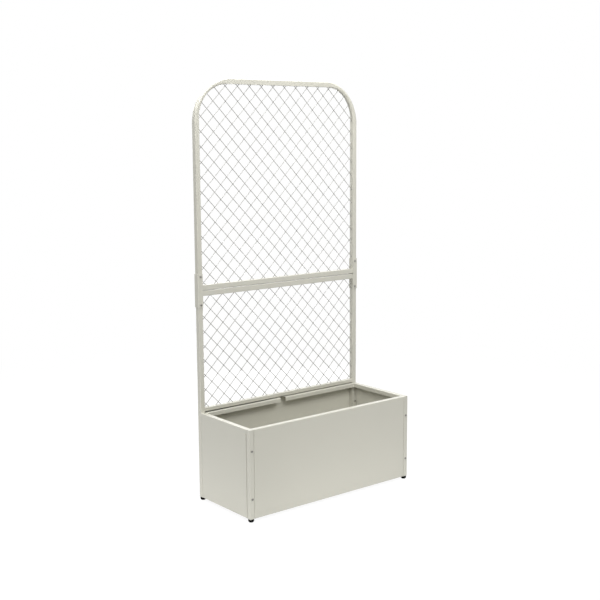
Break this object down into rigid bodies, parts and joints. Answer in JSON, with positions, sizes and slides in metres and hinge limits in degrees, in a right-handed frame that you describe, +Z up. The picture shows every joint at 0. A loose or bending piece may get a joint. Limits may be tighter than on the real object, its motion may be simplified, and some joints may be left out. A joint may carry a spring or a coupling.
{
  "type": "planter with trellis",
  "caption": "Rectangular sheet-metal planter box on screw-in feet, with an arched trellis of square tube and diagonal wire mesh on its back edge, joined at mid height by screwed sleeves.",
  "frame": {"origin": "on the ground below the middle of the box", "axes": "+X along the width to the right, +Y to the back where the trellis stands, +Z up"},
  "size_m": [0.805, 0.3412, 1.615],
  "materials": {
    "frame_paint": "satin greige powder coat on steel tube",
    "panel_paint": "satin greige powder coat on steel sheet",
    "mesh_paint": "satin greige powder coat on steel wire",
    "screw_steel": "bright zinc plated steel",
    "nut_steel": "bright zinc plated steel",
    "stud_steel": "bright zinc plated steel",
    "foot_plastic": "moulded black plastic",
    "insert_plastic": "moulded black plastic"
  },
  "bodies": {
    "planter": {"arch_tube": "frame_paint", "back_corner_nuts": "nut_steel", "back_corner_screws": "screw_steel", "back_left_foot_insert": "insert_plastic", "back_panel": "panel_paint", "back_right_foot_insert": "insert_plastic", "floor_tray": "panel_paint", "front_corner_nuts": "nut_steel", "front_corner_screws": "screw_steel", "front_left_foot_insert": "insert_plastic", "front_left_post": "frame_paint", "front_left_post_cap": "frame_paint", "front_panel": "panel_paint", "front_right_foot_insert": "insert_plastic", "front_right_post": "frame_paint", "front_right_post_cap": "frame_paint", "left_joint_sleeve": "frame_paint", "left_side_panel": "panel_paint", "left_upright": "frame_paint", "lower_frame_bottom_rail": "frame_paint", "lower_frame_top_rail": "frame_paint", "lower_mesh_falling_wires": "mesh_paint", "lower_mesh_rising_wires": "mesh_paint", "right_joint_sleeve": "frame_paint", "right_side_panel": "panel_paint", "right_upright": "frame_paint", "sleeve_rivet_nuts": "nut_steel", "sleeve_screws": "screw_steel", "upper_frame_bottom_rail": "frame_paint", "upper_mesh_falling_wires": "mesh_paint", "upper_mesh_rising_wires": "mesh_paint"},
    "front_left_foot": {"front_left_foot_pad": "foot_plastic", "front_left_foot_stud": "stud_steel"},
    "front_right_foot": {"front_right_foot_pad": "foot_plastic", "front_right_foot_stud": "stud_steel"},
    "back_left_foot": {"back_left_foot_pad": "foot_plastic", "back_left_foot_stud": "stud_steel"},
    "back_right_foot": {"back_right_foot_pad": "foot_plastic", "back_right_foot_stud": "stud_steel"}
  },
  "joints": [
    {"name": "front_left_foot_height", "type": "slide", "parent": "planter", "child": "front_left_foot", "axis": [0, 0, -1], "range_m": [0, 0.008]},
    {"name": "front_right_foot_height", "type": "slide", "parent": "planter", "child": "front_right_foot", "axis": [0, 0, -1], "range_m": [0, 0.008]},
    {"name": "back_left_foot_height", "type": "slide", "parent": "planter", "child": "back_left_foot", "axis": [0, 0, -1], "range_m": [0, 0.008]},
    {"name": "back_right_foot_height", "type": "slide", "parent": "planter", "child": "back_right_foot", "axis": [0, 0, -1], "range_m": [0, 0.008]}
  ]
}
